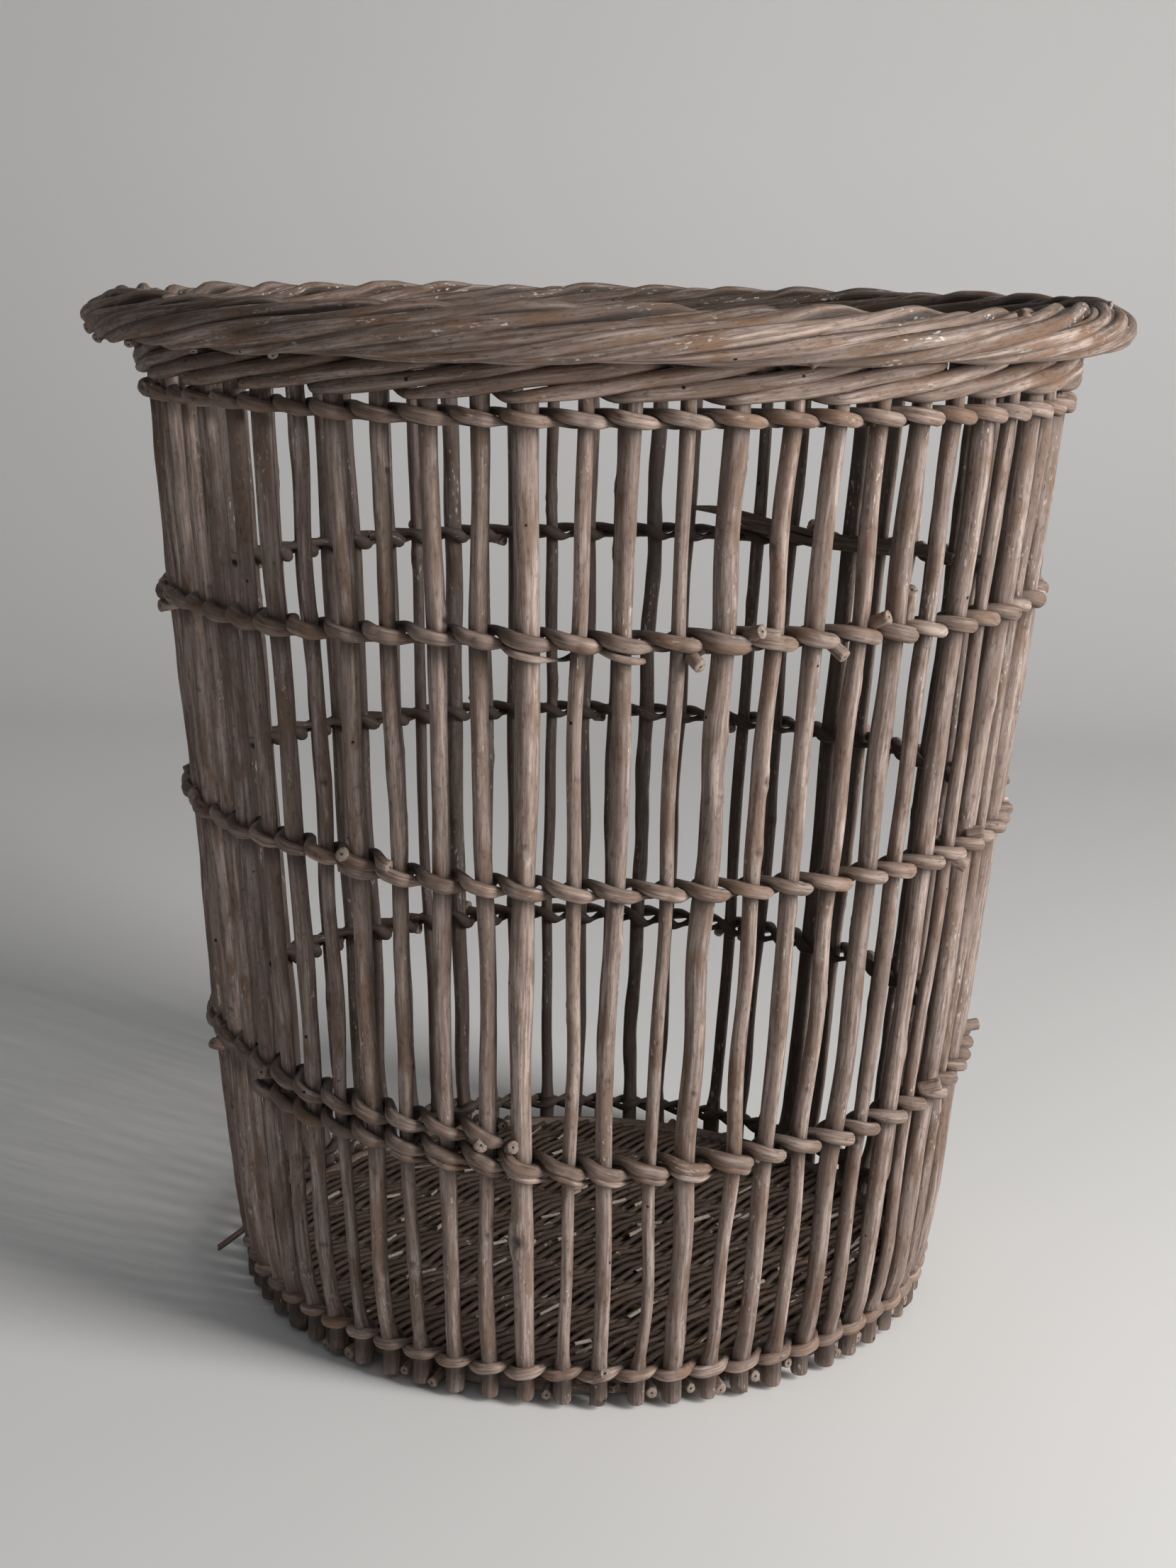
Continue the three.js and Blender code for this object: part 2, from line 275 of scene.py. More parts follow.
class Rods:
    """The rods of one piece. Each rod is a tube along a path, and build() makes them one mesh.

    The mesh carries what the materials need: "grain", each point's place in its own straightened
    rod; "tone", a chance number for each rod; a darkening, painted shade where rods meet, on their
    inner sides and in grooves, with some dirt; and "scar", for knots.
    """

    def __init__(self, name, slot, *nodes):
        self.name, self.slot, self.nodes = name, slot, nodes
        self.points, self.quads, self.fans = [], [], []
        self.grain, self.tone, self.grime, self.scar = [], [], [], []
        self.total = 0

    def add(self, path, radius, out, dice, sides=12, closed=False, across=1.0, ends=("cut", "cut"),
            grime=0.0, inner=0.0, edge=-0.1, lumps=0.035, knots=()):
        """Adds a tube. out points to what counts as the rod's outer side, and across widens or narrows
        it square to that. The darkening given along the rod is painted shade where other rods meet it,
        with some dirt. inner is how dark the painted shade on its inner side is, and edge the cosine of
        the angle where that shade starts. A knot is (distance along the rod, angle round it, height, half
        length)."""
        tube = Tube(path, radius, across, out, sides, closed)
        tube.make_surface(dice, lumps, knots)
        if not closed:
            tube.close_end(ends[0], 0, dice)
            tube.close_end(ends[1], -1, dice)
        start = dice.uniform(0, 40)          # so that no two rods have the same streaks
        first_point = self.total
        index = self.add_walls(tube, start, closed)
        self.add_shade_and_grime(tube, grime, inner, edge)
        for row, tip, is_cut in tube.tips:
            self.add_tip(index[row], row, tip, is_cut, start + tube.alongs[row][row])
        self.tone.append(np.full(self.total - first_point, dice.uniform(-1, 1)))

    def add_walls(self, tube, start, closed):
        """Adds a tube's rings and the faces between them, and returns the rings' point numbers."""
        points = np.concatenate(tube.points)
        reach, along = np.concatenate(tube.reaches), np.concatenate(tube.alongs)
        levels, sides = reach.shape
        index = self.total + np.arange(levels * sides).reshape(levels, sides)
        below, above = (index, np.roll(index, -1, 0)) if closed else (index[:-1], index[1:])
        corners = [below, np.roll(below, -1, 1), np.roll(above, -1, 1), above]
        self.quads.append(np.stack(corners, -1).reshape(-1, 4))
        grain = np.stack([reach * np.cos(tube.angle), reach * np.sin(tube.angle),
                          np.broadcast_to(along[:, None] + start, reach.shape)], -1)
        self.points.append(points.reshape(-1, 3))
        self.grain.append(grain.reshape(-1, 3))
        self.scar.append(np.concatenate(tube.scars).reshape(-1))
        self.total += levels * sides
        return index

    def add_shade_and_grime(self, tube, grime, inner, edge):
        """Adds the darkening along the rod, painted shade where other rods meet it with some dirt, and the
        painted shade on its inner side.
        """
        levels, count = sum(len(rings) for rings in tube.points), len(tube.path)
        shade_and_grime_along = np.broadcast_to(np.asarray(grime, float), count)
        pad = (levels - count) // 2
        shade_and_grime_along = np.pad(shade_and_grime_along, (pad, levels - count - pad), mode="edge")
        # painted shade on the rod's inner side, starting at the angle set by edge
        shaded = inner * smoothstep(-np.cos(tube.angle), -edge, 0.55 - edge)
        self.grime.append(np.maximum(shade_and_grime_along[:, None], shaded).reshape(-1))

    def add_tip(self, rim, row, tip, is_cut, along):
        """Closes an end with a fan of faces from its last ring to one point."""
        fan = np.stack([rim, np.roll(rim, -1), np.full(len(rim), self.total)], -1)
        self.fans.append((fan[:, ::-1] if row == 0 else fan, is_cut))
        self.points.append(tip[None])
        self.grain.append(np.array([[0, 0, along]]))
        self.grime.append(np.zeros(1))
        self.scar.append(np.zeros(1))
        self.total += 1

    def build(self, bark, cut_end):
        """Makes the piece, with bark on the rods and the other material on their cut ends."""
        mesh = bpy.data.meshes.new(self.name)
        quads = np.concatenate(self.quads)[:, ::-1]
        fans = [fan[:, ::-1] for fan, is_cut in self.fans]
        faces = quads.tolist() + [face for fan in fans for face in fan.tolist()]
        mesh.from_pydata(np.concatenate(self.points), [], faces)
        mesh.materials.append(bark)
        mesh.materials.append(cut_end)
        kinds = [np.zeros(len(quads), np.int32)]
        kinds += [np.full(len(fan), int(is_cut), np.int32) for fan, is_cut in self.fans]
        mesh.polygons.foreach_set("material_index", np.concatenate(kinds))
        grain = mesh.attributes.new("grain", "FLOAT_VECTOR", "POINT")
        grain.data.foreach_set("vector", np.concatenate(self.grain).astype(np.float32).ravel())
        for name, values in (("tone", self.tone), ("grime", self.grime), ("scar", self.scar)):
            layer = mesh.attributes.new(name, "FLOAT", "POINT")
            layer.data.foreach_set("value", np.concatenate(values).astype(np.float32))
        mesh.shade_smooth()
        mesh.update()
        piece = bpy.data.objects.new(self.name, mesh)
        bpy.context.scene.collection.objects.link(piece)
        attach(piece, "root")
        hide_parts(*self.nodes)
        return piece


# ---- materials ----

def add_node(tree, kind, inputs=None, **settings):
    """A shader node. inputs holds a value or another node's output for each input's name or number."""
    node = tree.nodes.new("ShaderNode" + kind)
    for key, value in settings.items():
        setattr(node, key, value)
    for key, value in (inputs or {}).items():
        if isinstance(value, bpy.types.NodeSocket):
            tree.links.new(value, node.inputs[key])
        else:
            node.inputs[key].default_value = value
    return node


def mixed(tree, share, first, second, blend="MIX"):
    """Colour first turning into second as share goes from 0 to 1."""
    node = add_node(tree, "Mix", {0: share, 6: first, 7: second}, data_type="RGBA", blend_type=blend)
    return node.outputs[2]


def remapped(tree, value, low, high, to_low=0.0, to_high=1.0):
    """A value from low to high, turned into one from to_low to to_high and kept inside them."""
    node = add_node(tree, "MapRange", {"Value": value, "From Min": low, "From Max": high,
                                       "To Min": to_low, "To Max": to_high}, clamp=True)
    return node.outputs["Result"]


def calculated(tree, operation, first, second):
    """The output of a Math node with two inputs."""
    return add_node(tree, "Math", {0: first, 1: second}, operation=operation).outputs[0]


def scaled(tree, vector, factors):
    """A vector with each of its parts multiplied by a factor."""
    return add_node(tree, "VectorMath", {0: vector, 1: factors}, operation="MULTIPLY").outputs[0]


def stretched_noise(tree, grain, across, along, detail=3.0, shift=0.0):
    """Noise drawn out along the rod: its features' size across and along it, in metres."""
    scale = (1 / across, 1 / across, 1 / along)
    moved = add_node(tree, "VectorMath", {0: grain, 1: scale, 2: (shift, shift, shift)},
                     operation="MULTIPLY_ADD").outputs[0]
    return add_node(tree, "TexNoise", {"Vector": moved, "Scale": 1.0, "Detail": detail,
                                       "Roughness": 0.55}).outputs["Fac"]


def linear(red, green, blue):
    """A shader colour from its sRGB values, 0 to 255."""
    def one(value):
        value /= 255
        return value / 12.92 if value <= 0.04045 else ((value + 0.055) / 1.055) ** 2.4
    return (one(red), one(green), one(blue), 1.0)


def new_material(name):
    """A material with its node tree and its Principled shader."""
    material = bpy.data.materials.new(name)
    material.use_nodes = True
    return material, material.node_tree, material.node_tree.nodes["Principled BSDF"]


def rod_attributes(tree):
    """What Rods stored on the mesh: grain, tone, the darkening of painted shade and dirt, and scar."""
    def read(name):
        return add_node(tree, "Attribute", attribute_name=name)
    return (read("grain").outputs["Vector"], read("tone").outputs["Fac"],
            read("grime").outputs["Fac"], read("scar").outputs["Fac"])


FLECK, WORM_HOLE = linear(205, 196, 190), linear(20, 14, 11)
KNOT, PITH = linear(38, 27, 21), linear(36, 26, 20)
HOLE_CELLS = 62.0            # cells per metre, with one worm hole in the middle of each


def willow(name, pale, middle, dark, ochre, flecks):
    """Old peeled willow: long streaks, ochre and grey patches, pale flecks, worm holes and knots."""
    material, tree, shader = new_material(name)
    grain, tone, grime, scar = rod_attributes(tree)

    broad = stretched_noise(tree, grain, 5 * MM, 70 * MM, 2.0, 3.1)
    streak = stretched_noise(tree, grain, 1.3 * MM, 26 * MM, 3.0, 11.7)
    fine = stretched_noise(tree, grain, 0.35 * MM, 6 * MM, 2.0, 23.9)
    patch = stretched_noise(tree, grain, 7 * MM, 22 * MM, 3.0, 41.3)
    mottle = stretched_noise(tree, grain, 1.6 * MM, 3.2 * MM, 4.0, 57.7)

    colour = mixed(tree, remapped(tree, streak, 0.38, 0.62), middle, pale)
    colour = mixed(tree, remapped(tree, broad, 0.45, 0.66, 0.0, 0.80), colour, middle)
    colour = mixed(tree, remapped(tree, patch, 0.49, 0.64, 0.0, 0.80), colour, ochre)
    colour = mixed(tree, remapped(tree, fine, 0.52, 0.72, 0.0, 0.50), colour, dark)
    colour = mixed(tree, remapped(tree, mottle, 0.56, 0.74, 0.0, 0.55), colour, dark)
    light = remapped(tree, tone, -1.0, 1.0, 0.80, 1.14)
    light = add_node(tree, "CombineColor", {"Red": light, "Green": light, "Blue": light}).outputs[0]
    colour = mixed(tree, 1.0, colour, light, "MULTIPLY")
    # painted shade, with some dirt: the stored darkening pulls the colour towards the dark colour
    colour = mixed(tree, remapped(tree, grime, 0.0, 1.0, 0.0, 0.78), colour, dark)

    spots = stretched_noise(tree, grain, 1.1 * MM, 3.6 * MM, 3.0, 73.3)
    where = stretched_noise(tree, grain, 9 * MM, 30 * MM, 2.0, 89.9)
    fleck = calculated(tree, "MULTIPLY", remapped(tree, spots, 0.60, 0.66),
                       remapped(tree, where, 0.56, 0.64, 0.0, flecks))
    colour = mixed(tree, fleck, colour, FLECK)

    cells = scaled(tree, grain, (HOLE_CELLS, HOLE_CELLS, HOLE_CELLS))
    cells = add_node(tree, "TexVoronoi", {"Vector": cells, "Scale": 1.0}).outputs["Distance"]
    hole = remapped(tree, cells, 0.052, 0.040)
    colour = mixed(tree, hole, colour, WORM_HOLE)
    colour = mixed(tree, remapped(tree, scar, 0.25, 0.9, 0.0, 0.9), colour, KNOT)
    tree.links.new(colour, shader.inputs["Base Color"])

    rough = remapped(tree, streak, 0.3, 0.7, 0.62, 0.80)
    tree.links.new(rough, shader.inputs["Roughness"])
    shader.inputs["Specular IOR Level"].default_value = 0.42

    coarse = calculated(tree, "MULTIPLY", streak, 0.8)
    height = add_node(tree, "Math", {0: fine, 1: 0.35, 2: coarse}, operation="MULTIPLY_ADD").outputs[0]
    height = calculated(tree, "SUBTRACT", height, calculated(tree, "MULTIPLY", hole, 3.0))
    bump = add_node(tree, "Bump", {"Strength": 0.55, "Distance": 0.35 * MM, "Height": height})
    tree.links.new(bump.outputs["Normal"], shader.inputs["Normal"])
    return material


RING_WIDTH = 0.9 * MM


def cut_willow(name, wood, shade):
    """The cut end of a rod: pale wood with faint rings, blotches and a dark pith."""
    material, tree, shader = new_material(name)
    grain, tone, grime, scar = rod_attributes(tree)
    flat = scaled(tree, grain, (1.0, 1.0, 0.0))
    distance = add_node(tree, "VectorMath", {0: flat}, operation="LENGTH").outputs["Value"]
    blotch = stretched_noise(tree, grain, 1.2 * MM, 1.2 * MM, 4.0, 5.5)
    rings = calculated(tree, "MULTIPLY", distance, 2 * math.pi / RING_WIDTH)
    rings = add_node(tree, "Math", {0: rings}, operation="SINE").outputs[0]
    colour = mixed(tree, remapped(tree, rings, -1.0, 1.0, 0.0, 0.30), wood, shade)
    colour = mixed(tree, remapped(tree, blotch, 0.40, 0.68, 0.0, 0.75), colour, shade)
    colour = mixed(tree, remapped(tree, distance, 0.75 * MM, 0.35 * MM), colour, PITH)
    tree.links.new(colour, shader.inputs["Base Color"])
    shader.inputs["Roughness"].default_value = 0.85
    bump = add_node(tree, "Bump", {"Strength": 0.6, "Distance": 0.3 * MM, "Height": blotch})
    tree.links.new(bump.outputs["Normal"], shader.inputs["Normal"])
    return material


STAKE_BARK = willow("stake_willow", linear(176, 159, 150), linear(122, 104, 95), linear(50, 38, 32),
                    linear(116, 92, 76), 0.6)
WEAVE_BARK = willow("weaving_willow", linear(174, 155, 144), linear(122, 102, 91), linear(42, 32, 27),
                    linear(122, 94, 74), 0.4)
BORDER_BARK = willow("border_willow", linear(172, 153, 143), linear(114, 96, 85), linear(32, 25, 21),
                     linear(122, 93, 71), 0.9)
# the base's willow is much darker than the walls': painted shade over the floor of the basket
BASE_BARK_SHADED = willow("base_willow_shaded", linear(110, 91, 79), linear(76, 60, 50), linear(34, 26, 21),
                   linear(88, 66, 50), 0.9)
CUT_END = cut_willow("willow_cut_end", linear(158, 143, 132), linear(92, 77, 67))
# pale cut wood for the base rods' ends, also used all over the broken ends, which stand in for painted
# light in the slits of the weave
BASE_CUT_END_AND_GAP_LIGHT = cut_willow("base_cut_end_and_gap_light", linear(188, 177, 165), linear(132, 113, 98))


# ---- stakes ----

CUT_STAKE, LONG_STAKE = 4.05 * MM, 3.15 * MM         # rod radii of the stakes that take turns
KNOTTED_STAKE = 4.7 * MM
KNOTS_PER_STAKE = 2.6
STAKE_LEVELS = 200
FOOT_END = 4.2 * MM              # height of a stake's lowest full ring


class Stake:
    """One upright rod: where it stands at a height, and how thick it is there."""

    def __init__(self, number):
        dice = dice_for(11, number)
        self.number = number
        self.cut = number % 2 == 0
        self.thickness = (CUT_STAKE if self.cut else LONG_STAKE) + dice.uniform(-0.45, 0.45) * MM
        self.taper = dice.uniform(0.10, 0.24)
        self.shift = dice.uniform(-1.2, 1.2) * MM
        self.lean = dice.uniform(-1.0, 1.0) * MM
        self.sideways = waves(dice, 0.95 * MM, 70 * MM, 300 * MM)
        self.inwards = waves(dice, 0.7 * MM, 80 * MM, 300 * MM)
        self.swell = waves(dice, 0.055, 22 * MM, 150 * MM)

    def position(self, height):
        """Where it stands, counted in stakes."""
        across = self.shift + self.lean * (height / HEIGHT - 0.5) + self.sideways(height)
        across = across * smoothstep(height, -10 * MM, 60 * MM)
        return self.number + across / (wall_radius(height) * STAKE_STEP)

    def distance(self, height):
        """Distance from the axis."""
        return wall_radius(height) + self.inwards(height) * smoothstep(height, 10 * MM, 60 * MM)

    def radius(self, height):
        """The rod's own radius."""
        share = height / HEIGHT
        return self.thickness * (1 - self.taper * (0.6 - share)) * (1 + self.swell(height))


stakes = [Stake(number) for number in range(STAKES)]
THICK_STAKE = int(FRONT) - 1         # the thickest stake, left of the middle, with a big knot
stakes[THICK_STAKE].thickness = KNOTTED_STAKE


def row_level(row, position):
    """Height of a row at a position: the rows are tilted or sag a little, as hand-made ones do."""
    angle = FIRST_STAKE + np.asarray(position, float) * STAKE_STEP
    front = np.clip(-np.sin(angle), 0, 1)
    tilt = {"upper_fitch": 4.6, "top_fitch": 2.0}.get(row, 0.0) * MM
    sag = {"lower_fitch": 7.0, "middle_fitch": 1.0}.get(row, 0.0) * MM
    wobble = ring_waves(dice_for(12, len(row)), 0.6 * MM, 2, 9)(position / STAKES)
    lift = 2.2 * MM if row == "upsett" else 0.0
    return ROW_HEIGHT[row] + lift + tilt * np.cos(angle) - sag * front ** 3 + wobble


def stake_knots(stake, dice, length):
    """The knots of a stake, as Rods.add takes them."""
    knots = []
    for _ in range(dice.poisson(KNOTS_PER_STAKE)):
        knots.append((dice.uniform(0.1, 0.95) * length, dice.uniform(-2.6, 2.6),
                      dice.uniform(0.6, 1.5) * MM, dice.uniform(2.6, 4.6) * MM))
    if stake.number == THICK_STAKE:
        knots.append((74 * MM, -0.35, 3.2 * MM, 7.0 * MM))
    return knots


def make_stake(rods, stake):
    """Adds a stake from its foot to the border, or to its cut top over the top row."""
    dice = dice_for(13, stake.number)
    bottom = FOOT_END + dice.uniform(0, 0.8) * MM
    top = BORDER_HEIGHT - 3 * MM
    if stake.cut:
        top = float(row_level("top_fitch", stake.number)) + dice.uniform(5.2, 7.4) * MM
    heights = np.linspace(bottom, top, STAKE_LEVELS)
    path = place(stake.position(heights), stake.distance(heights), heights)
    foot = 1 - smoothstep(heights, ROW_HEIGHT["upsett"], ROW_HEIGHT["upsett"] + 12 * MM)
    radius = stake.radius(heights) * (1 - foot) + dice.uniform(3.7, 4.3) * MM * foot
    # painted shade where the upsett and the fitched rows cross the stake
    grime = bell(heights, ROW_HEIGHT["upsett"], 9 * MM)
    for row in FITCH_ROWS:
        grime = np.maximum(grime, 0.8 * bell(heights, row_level(row, stake.number), 5.5 * MM))
    end = "cut" if dice.uniform() < 0.6 else "slant"
    # inner=0.8 paints shade on the stake's inner side
    rods.add(path, radius, outward(stake.number), dice, sides=14, grime=grime, inner=0.8,
             ends=("blunt", end if stake.cut else "cut"), knots=stake_knots(stake, dice, top))


def make_stakes():
    """One piece for each CAD node, which holds two neighbouring stakes."""
    for index, node in enumerate(PAIRS):
        rods = Rods(f"stakes_{index + 1:02d}", "stakes", node)
        make_stake(rods, stakes[2 * index])
        make_stake(rods, stakes[2 * index + 1])
        rods.build(STAKE_BARK, CUT_END)


make_stakes()


# ---- rod ends that stick out ----

def add_stub(rods, dice, start, way, length, radius, ends=("cut", "cut")):
    """A short cut or broken rod end that sticks out."""
    start, way = np.asarray(start, float), np.asarray(way, float)
    path = start + unit(way) * length * np.linspace(0, 1, 7)[:, None]
    rods.add(path, radius, (0.3, 0.2, 0.9), dice, sides=10, lumps=0.08, ends=ends)


# ---- twined rows ----

def stake_line(height, counts):
    """Position, distance from the axis and rod radius of the stakes at places counted in stakes."""
    whole = np.arange(STAKES)
    here = [(stake.position(height), stake.distance(height), stake.radius(height)) for stake in stakes]
    offset, distance, radius = np.array(here, float).T
    offset = offset - whole
    wrapped = np.asarray(counts) % STAKES
    table = [np.interp(wrapped, np.arange(STAKES + 1), np.append(values, values[0]))
             for values in (offset, distance, radius)]
    return counts + table[0], table[1], table[2]


STEPS_PER_STAKE = 14         # points of a twined rod from one stake to the next


def twined(rods, row, strand, first, last, rod, turn, rise, key, lift=0.0, below=0.0, press=0.80,
           ends=("cut", "cut")):
    """A rod that goes outside every second stake and inside the others.

    turn is -1 where it slopes down to the right on the outside and 1 where it slopes up; rise is how
    far it goes above and below the middle of the row, and below how far it lies under it. lift raises
    its last stretch over its first. press is how far its middle lies off a stake, in its own radii.
    """
    dice = dice_for(21, key, strand)
    counts = np.arange(int(first * STEPS_PER_STAKE), int(last * STEPS_PER_STAKE) + 1) / STEPS_PER_STAKE
    share = (counts - strand + 1) % 2 - 1             # 0 outside a stake, -1 and 1 inside one
    facing = 1 - 2 * smoothstep(np.abs(share), 0.12, 0.88)
    position, distance, stake_rod = stake_line(ROW_HEIGHT[row], counts)
    swell = ring_waves(dice, 0.09, 4, 30)((counts - first) / STAKES)
    tail = bell(share, -0.66, 0.22)       # thin where it comes out from behind a stake
    tip = bell(share, 0.56, 0.19)         # and where it dives behind the next
    inside = smoothstep(np.abs(share), 0.72, 1.0)
    radius = rod * (1.02 - 0.26 * tail - 0.34 * tip + 0.12 * inside) * (1 + swell)
    reach = stake_rod + press * radius + below * 0.15
    spread = ring_waves(dice, 0.12, 5, 30)((counts - first) / STAKES)
    level = row_level(row, counts % STAKES)
    level = level + turn * rise * (1 + spread) * softened(zigzag(share, 0.70), 3) - below
    level = level + lift * smoothstep(counts, last - 24, last - 6)
    path = place(position, distance + reach * facing, level)
    # painted shade where the rod runs inside, behind the stakes, and on its inner side
    grime = np.clip(0.55 - 0.75 * facing, 0, 1)
    squeeze = 1.16 - 0.24 * tail - 0.42 * tip
    rods.add(path, radius, outward(counts), dice, sides=12, across=squeeze, grime=grime, inner=0.9,
             edge=0.35, ends=ends)


ROW_STUBS = {          # stakes right of the front, height over the row, how far it rises going out
    "upper_fitch": ((1.80, -4.5, -0.7), (2.95, 4.0, 0.4), (4.85, -4.5, -0.9), (5.75, 5.0, 0.6)),
    "middle_fitch": ((-5.80, 4.5, 0.5), (9.6, -3.5, -0.7), (10.4, 5.0, 0.3)),
    "lower_fitch": ((-2.60, 6.5, 0.4), (-1.85, 7.0, 0.6), (9.9, 5.0, 0.5), (-9.2, 8.0, 0.3)),
}
EXTRA_STUBS = 9        # more of them on the sides and the back


def add_row_stubs(rods, row, key):
    """Short cut ends that stick out of a row."""
    dice = dice_for(22, key)
    stubs = list(ROW_STUBS.get(row, ()))
    for _ in range(EXTRA_STUBS if stubs else 0):
        stubs.append((dice.uniform(13, 51), dice.choice([-4.5, 4.5]), dice.uniform(-0.8, 0.8)))
    for offset, height, rise in stubs:
        position = FRONT + offset
        level = float(row_level(row, position % STAKES)) + height * MM
        start = place(position, float(wall_radius(level)) + 1.5 * MM, level - rise * 2 * MM)
        along = np.cross(outward(position), (0, 0, 1))
        way = outward(position) - 0.45 * along + np.array([0, 0, 0.8 * rise])
        add_stub(rods, dice, start, way, dice.uniform(6.5, 9) * MM, dice.uniform(2.4, 2.9) * MM)


SPLICE_RODS = ((12.9, 4.6, 11), (12.0, 3.2, 8), (11.3, 6.0, 6))      # from, to, height of the point in mm


def add_inside_splice(rods):
    """Spare lengths laid along the inside of the upper row, their points standing up."""
    for number, (start, last, up) in enumerate(SPLICE_RODS):
        dice = dice_for(23, number)
        counts = np.linspace(start, last, 70)
        share = (start - counts) / (start - last)
        level = row_level("upper_fitch", counts) + up * MM * (1 - smoothstep(share, 0, 0.55)) + 2 * MM
        distance = wall_radius(level) - (7.5 + 2.0 * number) * MM + waves(dice, 0.8 * MM, 3, 9)(counts)
        path = place(counts, distance, level - number * 1.5 * MM)
        radius = 2.3 * MM * smoothstep(share, -0.10, 0.12)
        # painted shade along these rods, which lie inside the basket
        rods.add(path, radius, outward(counts), dice, sides=10, grime=0.8, ends=("round", "cut"))


def add_spliced_end(rods):
    """The slanting top of a rod pushed in beside a stake."""
    dice = dice_for(24)
    position = FRONT + 7.0
    heights = row_level("upper_fitch", position) + np.linspace(-3, 15, 10) * MM
    path = place(position, wall_radius(heights) - 1.5 * MM, heights)
    rods.add(path, 2.3 * MM, outward(position), dice, sides=12, ends=("cut", "slant"))


FITCH_SHAPE = {               # rod radius and rise in mm, first position
    "lower_fitch": (2.55, 3.6, FRONT - 9.5),
    "middle_fitch": (2.5, 2.7, FRONT - 6.0),
    "upper_fitch": (2.65, 2.8, FRONT + 2.0),
    "top_fitch": (2.4, 2.4, FRONT - 24),
}
OVERLAP = {                   # stakes of overlap, and how far the end lies above the start, in mm
    "lower_fitch": (7.5, 10.0),
    "middle_fitch": (1.5, 3.0),
    "upper_fitch": (1.5, 2.0),
    "top_fitch": (1.0, 0.0),
}
THIN_RODS = {                 # spare thin rods at the front: strands, from, to, radius, depth under the row
    "lower_fitch": ((0, 1), -4.6, 4.2, 1.35, 3.4),
    "upper_fitch": ((0,), -2.6, 0.9, 1.3, 3.0),
}


def make_row(row, key):
    """A fitched row: two rods that cross between the stakes, each a piece of its own."""
    rod, rise, first = FITCH_SHAPE[row]
    extra, lift = OVERLAP[row]
    for strand in (0, 1):
        rods = Rods(f"{row}_{strand + 1}", "weaving", f"{row}_rod_{strand + 1}")
        twined(rods, row, strand, first, first + STAKES + extra, rod * MM, -1, rise * MM, key,
               lift=lift * MM)
        strands, start, end, thin, below = THIN_RODS.get(row, ((), 0, 0, 0, 0))
        if strand in strands:
            twined(rods, row, strand, FRONT + start, FRONT + end, thin * MM, -1, rise * MM, key + 50,
                   below=below * MM, press=1.6, ends=("round", "round"))
        if strand == 0:
            add_row_stubs(rods, row, key)
        if strand == 0 and row == "upper_fitch":
            add_inside_splice(rods)
            add_spliced_end(rods)
        rods.build(WEAVE_BARK, CUT_END)


UPSETT_ROD, UPSETT_RISE, UPSETT_START = 2.3 * MM, 1.9 * MM, FRONT - 30


def make_upsett():
    """The lowest row: two rods pressed deep between the stakes, just over the feet."""
    for strand in (0, 1):
        rods = Rods(f"upsett_{strand + 1}", "weaving", f"upsett_rod_{strand + 1}")
        twined(rods, "upsett", strand, UPSETT_START, UPSETT_START + STAKES + 1, UPSETT_ROD, 1,
               UPSETT_RISE, 9, press=0.35)
        rods.build(WEAVE_BARK, CUT_END)


for key, row in enumerate(FITCH_ROWS):
    make_row(row, key)
make_upsett()


# ---- wale: three rods, each outside two uncut stakes and inside the third ----

WALE_ROD = 3.1 * MM
WALE_START = round(FRONT - 27) | 1            # an odd stake, one that isn't cut off
WALE_STEPS = 8                                # points from one stake to the next
WALE_RAISE, WALE_RISE = 3.8 * MM, 6.4 * MM    # over the CAD row, and up and down from there


def make_wale(number):
    """One rod of the wale."""
    dice = dice_for(31, number)
    rods = Rods(f"wale_{number + 1}", "weaving", WALE_RODS[number])
    counts = WALE_START + 2 * number + np.arange((STAKES + 2) * WALE_STEPS + 1) / WALE_STEPS
    cycle = ((counts - WALE_START) / 2 - number + 1) % 3 - 1.5       # 0 outside, -1.5 and 1.5 inside
    outside = 1 - 2 * smoothstep(np.abs(cycle), 1.00, 1.50)
    position, distance, stake_rod = stake_line(CUT_HEIGHT, counts)
    bulge = (stake_rod + 0.8 * WALE_ROD) * outside
    level = WALE_HEIGHT + WALE_RAISE + WALE_RISE * softened(zigzag(cycle / 1.5, 0.80), 2)
    level = level + ring_waves(dice, 0.4 * MM, 5, 20)(counts / STAKES)
    tail = bell(cycle, -1.12, 0.30)
    tip = bell(cycle, 1.12, 0.30)
    radius = WALE_ROD * (1.04 - 0.36 * tail - 0.34 * tip)
    radius = radius * (1 + ring_waves(dice, 0.07, 6, 30)(counts / STAKES))
    path = place(position, distance + bulge, level)
    path[:, 2] += TILT_RIGHT * path[:, 0] + TILT_BACK * path[:, 1]
    # painted shade where the rod runs inside, behind a stake, and on its inner side
    grime = np.clip(0.75 - 0.8 * outside, 0, 1)
    rods.add(path, radius, outward(counts), dice, sides=12, grime=grime, inner=0.95, edge=0.45)
    rods.build(WEAVE_BARK, CUT_END)


for number in range(3):
    make_wale(number)


# ---- rope border: groups of rods laid round in a rope ----

BORDER_GROUPS = 9
BORDER_TURNS = 4             # of each rod round the rope, in one round of the basket
BORDER_POINTS = 560
CREST_TURN = math.radians(95)        # where a rod stands highest, just before it dives
CREST_BEFORE, CREST_AFTER = 0.42, 0.20       # radians
GROUP_KINDS = (          # thick rod's radius and how deep it lies, the thin rod's, all in mm
    (3.40, -0.5, 2.1, 1.8),
    (3.05, 0.3, 2.3, 1.3),
    (3.55, -0.6, 2.0, 2.0),
)


